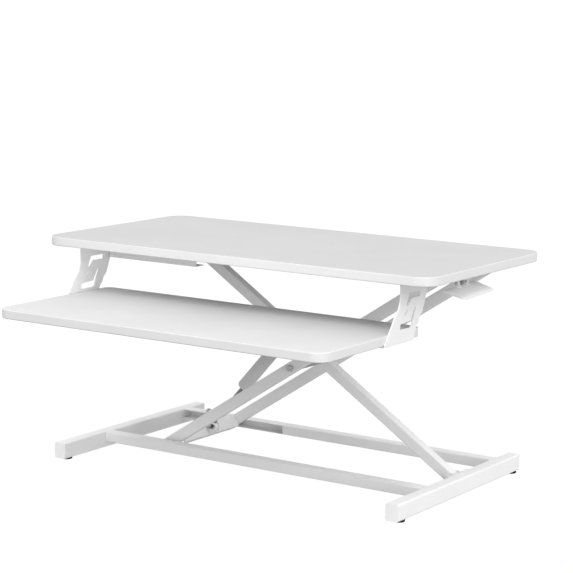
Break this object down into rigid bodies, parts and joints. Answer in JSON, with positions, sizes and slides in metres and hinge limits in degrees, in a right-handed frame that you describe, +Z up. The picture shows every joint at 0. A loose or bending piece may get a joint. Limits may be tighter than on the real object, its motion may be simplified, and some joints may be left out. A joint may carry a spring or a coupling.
{
  "type": "standing desk converter",
  "caption": "White X-frame standing desk converter: rounded desktop, lower keyboard tray, gas spring scissor lift, tube base with rubber pads.",
  "frame": {"origin": "middle of the footprint, on the surface under the rubber pads", "axes": "+X to the user's right, +Y away from the user, +Z up"},
  "size_m": [0.95, 0.7348, 0.4828],
  "materials": {
    "laminate": "white melamine laminate on board",
    "powder": "white powder coat",
    "plastic": "fine-grained moulded",
    "nylon": "plain nylon",
    "rubber": "matte",
    "steel": "zinc plated",
    "rod": "hard chromed, polished",
    "cylinder": "light grey paint"
  },
  "bodies": {
    "base": {"base_foot_left": "powder", "base_foot_right": "powder", "base_crossbar_front": "powder", "base_crossbar_rear": "powder", "base_hinge_bracket": "powder", "base_hinge_pin": "steel", "track_stop_button": "steel", "foot_cap_left_front": "plastic", "foot_cap_left_rear": "plastic", "foot_cap_right_front": "plastic", "foot_cap_right_rear": "plastic", "foot_pad_left_front": "rubber", "foot_pad_left_rear": "rubber", "foot_pad_right_front": "rubber", "foot_pad_right_rear": "rubber"},
    "inner_arm": {"inner_arm_tube": "powder", "upper_axle": "steel", "spacer_sleeve_front": "steel", "spacer_sleeve_rear": "steel", "gas_upper_bracket": "powder", "gas_upper_pin": "steel"},
    "outer_arm": {"outer_arm_bar_front": "powder", "outer_arm_bar_rear": "powder", "outer_arm_cross_bracket": "powder", "lower_axle": "steel", "centre_bolt": "steel", "centre_nut": "steel", "top_hinge_pin_front": "steel", "top_hinge_pin_rear": "steel"},
    "gas_cylinder_body": {"gas_cylinder": "cylinder"},
    "gas_rod_body": {"gas_rod": "rod", "gas_lower_pin": "steel"},
    "top": {"desktop": "laminate", "keyboard_tray": "laminate", "tray_bracket_left": "powder", "tray_bracket_right": "powder", "top_track_front": "powder", "top_track_rear": "powder", "top_hinge_bracket_front": "powder", "top_hinge_bracket_rear": "powder", "lever_bracket": "powder", "lever_pin": "steel", "lever_spring": "steel", "track_screw_front_left": "steel", "track_screw_front_right": "steel", "track_screw_rear_left": "steel", "track_screw_rear_right": "steel", "hinge_screw_front_front": "steel", "hinge_screw_front_rear": "steel", "hinge_screw_rear_front": "steel", "hinge_screw_rear_rear": "steel", "lever_bracket_screw": "steel"},
    "lever": {"lever_paddle": "plastic"},
    "lower_roller_front_body": {"lower_roller_front": "nylon"},
    "lower_roller_rear_body": {"lower_roller_rear": "nylon"},
    "upper_roller_front_body": {"upper_roller_front": "nylon"},
    "upper_roller_rear_body": {"upper_roller_rear": "nylon"}
  },
  "joints": [
    {"name": "lift", "type": "hinge", "parent": "base", "child": "inner_arm", "pos_m": [0.38016, 0.1538, 0.0286], "axis": [0, 1, 0], "range_deg": [-27.4, 2]},
    {"name": "scissor", "type": "hinge", "parent": "inner_arm", "child": "outer_arm", "pos_m": [0.0615, 0.1538, 0.2352], "axis": [0, 1, 0], "range_deg": [-4.1, 54.9]},
    {"name": "top_level", "type": "hinge", "parent": "outer_arm", "child": "top", "pos_m": [0.38016, 0.1538, 0.4418], "axis": [0, 1, 0], "range_deg": [-27.5, 2.1]},
    {"name": "gas_cylinder_swing", "type": "hinge", "parent": "inner_arm", "child": "gas_cylinder_body", "pos_m": [-0.0348, 0.1538, 0.2691], "axis": [0, 1, 0], "range_deg": [-5.3, 70.4]},
    {"name": "gas_rod_stroke", "type": "slide", "parent": "gas_cylinder_body", "child": "gas_rod_body", "axis": [-0.6622, 0, -0.7494], "range_m": [-0.0588, 0.0046]},
    {"name": "release_lever", "type": "hinge", "parent": "top", "child": "lever", "pos_m": [0.43, 0.0861, 0.4455], "axis": [0, -1, 0], "range_deg": [0, 12], "stiffness_Nm_per_rad": 0.6, "springref_deg": -11.46},
    {"name": "lower_roller_front_spin", "type": "hinge", "parent": "outer_arm", "child": "lower_roller_front_body", "pos_m": [-0.25716, 0.0084, 0.0286], "axis": [0, 1, 0], "continuous": true},
    {"name": "lower_roller_rear_spin", "type": "hinge", "parent": "outer_arm", "child": "lower_roller_rear_body", "pos_m": [-0.25716, 0.3006, 0.0286], "axis": [0, 1, 0], "continuous": true},
    {"name": "upper_roller_front_spin", "type": "hinge", "parent": "inner_arm", "child": "upper_roller_front_body", "pos_m": [-0.25716, 0.0084, 0.4418], "axis": [0, 1, 0], "continuous": true},
    {"name": "upper_roller_rear_spin", "type": "hinge", "parent": "inner_arm", "child": "upper_roller_rear_body", "pos_m": [-0.25716, 0.3006, 0.4418], "axis": [0, 1, 0], "continuous": true}
  ],
  "couplings": [
    {"joint": "scissor", "follows": "lift", "ratio": -2},
    {"joint": "top_level", "follows": "lift", "ratio": 1},
    {"joint": "gas_cylinder_swing", "follows": "lift", "ratio": -2.5626},
    {"joint": "gas_rod_stroke", "follows": "lift", "m_per_rad": 0.12206}
  ]
}
